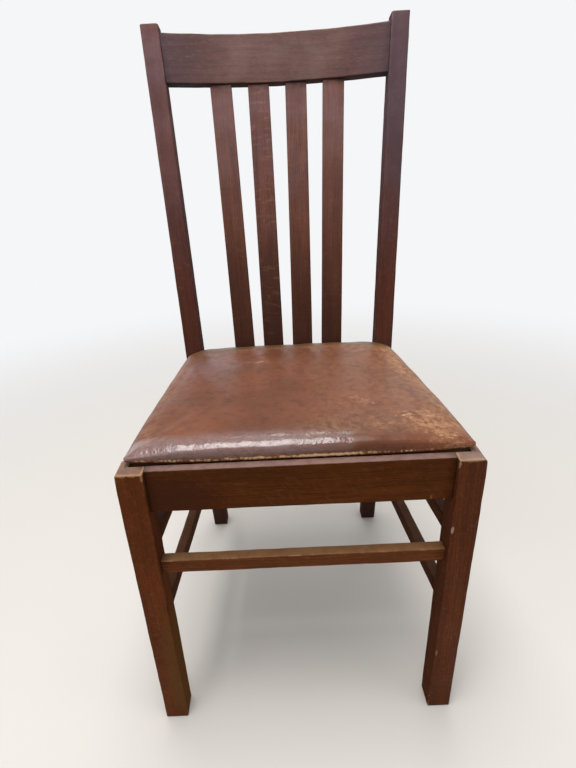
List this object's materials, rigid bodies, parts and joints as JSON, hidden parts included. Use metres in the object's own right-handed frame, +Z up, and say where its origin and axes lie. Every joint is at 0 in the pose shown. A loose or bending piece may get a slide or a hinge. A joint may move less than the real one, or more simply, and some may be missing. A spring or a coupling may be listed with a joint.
{
  "type": "slat-back side chair",
  "caption": "Armless oak side chair with a raked and splayed back of upright slats under a bowed crest rail, square legs, stretchers and a lift-out leather seat.",
  "frame": {"origin": "on the floor, under the middle of the box that encloses the whole chair", "axes": "+Z up, the chair faces -Y, +X towards the right of someone who looks at its front"},
  "size_m": [0.432, 0.5268, 0.9707],
  "materials": {
    "stained_oak": "dark brown stain under a worn satin varnish",
    "block_wood": "unfinished, aged",
    "seat_frame_wood": "unfinished, aged",
    "screw_steel": "dull bare steel",
    "jute": "coarse woven tape",
    "hessian_cloth": "open plain weave",
    "seat_stuffing": "loose fibre under cotton wadding",
    "seat_leather": "glossy, worn and scuffed",
    "dust_cloth": "plain matt weave",
    "tack_steel": "blued"
  },
  "bodies": {
    "frame": {"front_leg_left": "stained_oak", "front_leg_right": "stained_oak", "rear_post_left": "stained_oak", "rear_post_right": "stained_oak", "crest_rail": "stained_oak", "back_slat_1": "stained_oak", "back_slat_2": "stained_oak", "back_slat_3": "stained_oak", "back_slat_4": "stained_oak", "front_seat_rail": "stained_oak", "rear_seat_rail": "stained_oak", "side_seat_rail_left": "stained_oak", "side_seat_rail_right": "stained_oak", "front_stretcher": "stained_oak", "rear_stretcher": "stained_oak", "lower_stretcher_left": "stained_oak", "lower_stretcher_right": "stained_oak", "upper_stretcher_left": "stained_oak", "upper_stretcher_right": "stained_oak", "corner_block_front_left": "block_wood", "corner_block_front_right": "block_wood", "corner_block_rear_left": "block_wood", "corner_block_rear_right": "block_wood", "corner_block_screws": "screw_steel"},
    "slip_seat": {"seat_frame_front": "seat_frame_wood", "seat_frame_back": "seat_frame_wood", "seat_frame_left": "seat_frame_wood", "seat_frame_right": "seat_frame_wood", "webbing_lengthwise": "jute", "webbing_crosswise": "jute", "hessian": "hessian_cloth", "stuffing": "seat_stuffing", "leather_cover": "seat_leather", "dust_cover": "dust_cloth", "seat_tacks": "tack_steel"}
  },
  "joints": [
    {"name": "seat_lift", "type": "slide", "parent": "frame", "child": "slip_seat", "axis": [0, 0, 1], "range_m": [0, 0.08]}
  ]
}
